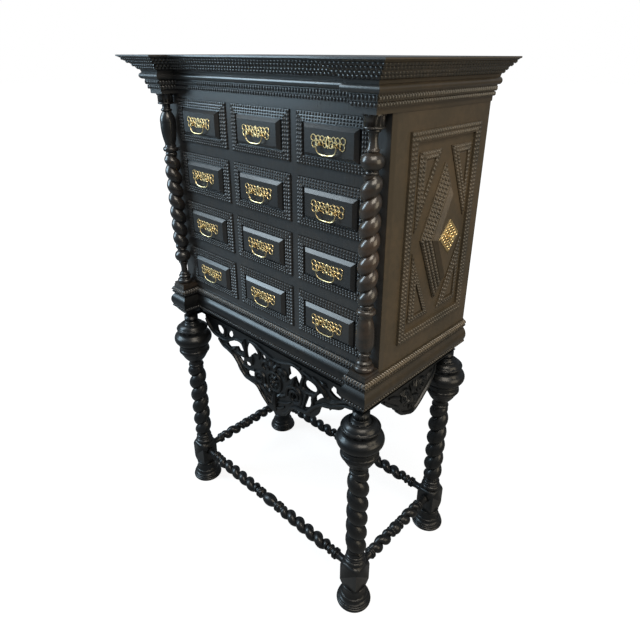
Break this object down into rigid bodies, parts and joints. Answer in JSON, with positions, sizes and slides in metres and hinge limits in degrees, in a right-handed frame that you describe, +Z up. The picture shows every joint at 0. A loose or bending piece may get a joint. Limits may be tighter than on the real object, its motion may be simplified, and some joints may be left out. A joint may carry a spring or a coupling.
{
  "type": "vargueno",
  "caption": "Cabinet of small drawers with ripple mouldings, twist columns and side panels, on an open stand of twisted legs with stretchers and a pierced, carved apron.",
  "frame": {"origin": "centre of the outline's box in plan, on the floor under the feet", "axes": "+Z up, +X to the right seen from the front, drawers open towards -Y"},
  "size_m": [0.93, 0.5524, 1.5],
  "materials": {
    "ebonised_wood": "waxed, worn satin",
    "inner_wood": "bare, matt",
    "brass": "aged, satin"
  },
  "bodies": {
    "cabinet": {"carcass_side_left": "ebonised_wood", "carcass_side_right": "ebonised_wood", "carcass_top": "ebonised_wood", "carcass_bottom": "inner_wood", "carcass_back": "inner_wood", "partition_grid": "inner_wood", "facade_frame": "ebonised_wood", "cornice": "ebonised_wood", "cornice_torus": "ebonised_wood", "frieze": "ebonised_wood", "base_bead": "ebonised_wood", "stand_frame": "ebonised_wood", "column_left": "ebonised_wood", "column_right": "ebonised_wood", "column_plinths": "ebonised_wood", "side_panel_mouldings": "ebonised_wood", "side_rosettes": "brass", "leg_front_left": "ebonised_wood", "leg_front_right": "ebonised_wood", "leg_rear_left": "ebonised_wood", "leg_rear_right": "ebonised_wood", "stretchers": "ebonised_wood", "front_apron": "ebonised_wood", "side_aprons": "ebonised_wood"},
    "drawer_r1c1": {"drawer_r1c1": "ebonised_wood", "pull_r1c1": "brass"},
    "bail_r1c1": {"bail_r1c1": "brass"},
    "drawer_r1c2": {"drawer_r1c2": "ebonised_wood", "pull_r1c2": "brass"},
    "bail_r1c2": {"bail_r1c2": "brass"},
    "drawer_r1c3": {"drawer_r1c3": "ebonised_wood", "pull_r1c3": "brass"},
    "bail_r1c3": {"bail_r1c3": "brass"},
    "drawer_r2c1": {"drawer_r2c1": "ebonised_wood", "pull_r2c1": "brass"},
    "bail_r2c1": {"bail_r2c1": "brass"},
    "drawer_r2c2": {"drawer_r2c2": "ebonised_wood", "pull_r2c2": "brass"},
    "bail_r2c2": {"bail_r2c2": "brass"},
    "drawer_r2c3": {"drawer_r2c3": "ebonised_wood", "pull_r2c3": "brass"},
    "bail_r2c3": {"bail_r2c3": "brass"},
    "drawer_r3c1": {"drawer_r3c1": "ebonised_wood", "pull_r3c1": "brass"},
    "bail_r3c1": {"bail_r3c1": "brass"},
    "drawer_r3c2": {"drawer_r3c2": "ebonised_wood", "pull_r3c2": "brass"},
    "bail_r3c2": {"bail_r3c2": "brass"},
    "drawer_r3c3": {"drawer_r3c3": "ebonised_wood", "pull_r3c3": "brass"},
    "bail_r3c3": {"bail_r3c3": "brass"},
    "drawer_r4c1": {"drawer_r4c1": "ebonised_wood", "pull_r4c1": "brass"},
    "bail_r4c1": {"bail_r4c1": "brass"},
    "drawer_r4c2": {"drawer_r4c2": "ebonised_wood", "pull_r4c2": "brass"},
    "bail_r4c2": {"bail_r4c2": "brass"},
    "drawer_r4c3": {"drawer_r4c3": "ebonised_wood", "pull_r4c3": "brass"},
    "bail_r4c3": {"bail_r4c3": "brass"}
  },
  "joints": [
    {"name": "drawer_slide_r1c1", "type": "slide", "parent": "cabinet", "child": "drawer_r1c1", "axis": [0, -1, 0], "range_m": [0, 0.3]},
    {"name": "bail_hinge_r1c1", "type": "hinge", "parent": "drawer_r1c1", "child": "bail_r1c1", "pos_m": [-0.24333, -0.18165, 1.3225], "axis": [-1, 0, 0], "range_deg": [0, 165]},
    {"name": "drawer_slide_r1c2", "type": "slide", "parent": "cabinet", "child": "drawer_r1c2", "axis": [0, -1, 0], "range_m": [0, 0.3]},
    {"name": "bail_hinge_r1c2", "type": "hinge", "parent": "drawer_r1c2", "child": "bail_r1c2", "pos_m": [0, -0.18165, 1.3225], "axis": [-1, 0, 0], "range_deg": [0, 165]},
    {"name": "drawer_slide_r1c3", "type": "slide", "parent": "cabinet", "child": "drawer_r1c3", "axis": [0, -1, 0], "range_m": [0, 0.3]},
    {"name": "bail_hinge_r1c3", "type": "hinge", "parent": "drawer_r1c3", "child": "bail_r1c3", "pos_m": [0.24333, -0.18165, 1.3225], "axis": [-1, 0, 0], "range_deg": [0, 165]},
    {"name": "drawer_slide_r2c1", "type": "slide", "parent": "cabinet", "child": "drawer_r2c1", "axis": [0, -1, 0], "range_m": [0, 0.3]},
    {"name": "bail_hinge_r2c1", "type": "hinge", "parent": "drawer_r2c1", "child": "bail_r2c1", "pos_m": [-0.24333, -0.18165, 1.174], "axis": [-1, 0, 0], "range_deg": [0, 165]},
    {"name": "drawer_slide_r2c2", "type": "slide", "parent": "cabinet", "child": "drawer_r2c2", "axis": [0, -1, 0], "range_m": [0, 0.3]},
    {"name": "bail_hinge_r2c2", "type": "hinge", "parent": "drawer_r2c2", "child": "bail_r2c2", "pos_m": [0, -0.18165, 1.174], "axis": [-1, 0, 0], "range_deg": [0, 165]},
    {"name": "drawer_slide_r2c3", "type": "slide", "parent": "cabinet", "child": "drawer_r2c3", "axis": [0, -1, 0], "range_m": [0, 0.3]},
    {"name": "bail_hinge_r2c3", "type": "hinge", "parent": "drawer_r2c3", "child": "bail_r2c3", "pos_m": [0.24333, -0.18165, 1.174], "axis": [-1, 0, 0], "range_deg": [0, 165]},
    {"name": "drawer_slide_r3c1", "type": "slide", "parent": "cabinet", "child": "drawer_r3c1", "axis": [0, -1, 0], "range_m": [0, 0.3]},
    {"name": "bail_hinge_r3c1", "type": "hinge", "parent": "drawer_r3c1", "child": "bail_r3c1", "pos_m": [-0.24333, -0.18165, 1.0255], "axis": [-1, 0, 0], "range_deg": [0, 165]},
    {"name": "drawer_slide_r3c2", "type": "slide", "parent": "cabinet", "child": "drawer_r3c2", "axis": [0, -1, 0], "range_m": [0, 0.3]},
    {"name": "bail_hinge_r3c2", "type": "hinge", "parent": "drawer_r3c2", "child": "bail_r3c2", "pos_m": [0, -0.18165, 1.0255], "axis": [-1, 0, 0], "range_deg": [0, 165]},
    {"name": "drawer_slide_r3c3", "type": "slide", "parent": "cabinet", "child": "drawer_r3c3", "axis": [0, -1, 0], "range_m": [0, 0.3]},
    {"name": "bail_hinge_r3c3", "type": "hinge", "parent": "drawer_r3c3", "child": "bail_r3c3", "pos_m": [0.24333, -0.18165, 1.0255], "axis": [-1, 0, 0], "range_deg": [0, 165]},
    {"name": "drawer_slide_r4c1", "type": "slide", "parent": "cabinet", "child": "drawer_r4c1", "axis": [0, -1, 0], "range_m": [0, 0.3]},
    {"name": "bail_hinge_r4c1", "type": "hinge", "parent": "drawer_r4c1", "child": "bail_r4c1", "pos_m": [-0.24333, -0.18165, 0.877], "axis": [-1, 0, 0], "range_deg": [0, 165]},
    {"name": "drawer_slide_r4c2", "type": "slide", "parent": "cabinet", "child": "drawer_r4c2", "axis": [0, -1, 0], "range_m": [0, 0.3]},
    {"name": "bail_hinge_r4c2", "type": "hinge", "parent": "drawer_r4c2", "child": "bail_r4c2", "pos_m": [0, -0.18165, 0.877], "axis": [-1, 0, 0], "range_deg": [0, 165]},
    {"name": "drawer_slide_r4c3", "type": "slide", "parent": "cabinet", "child": "drawer_r4c3", "axis": [0, -1, 0], "range_m": [0, 0.3]},
    {"name": "bail_hinge_r4c3", "type": "hinge", "parent": "drawer_r4c3", "child": "bail_r4c3", "pos_m": [0.24333, -0.18165, 0.877], "axis": [-1, 0, 0], "range_deg": [0, 165]}
  ]
}
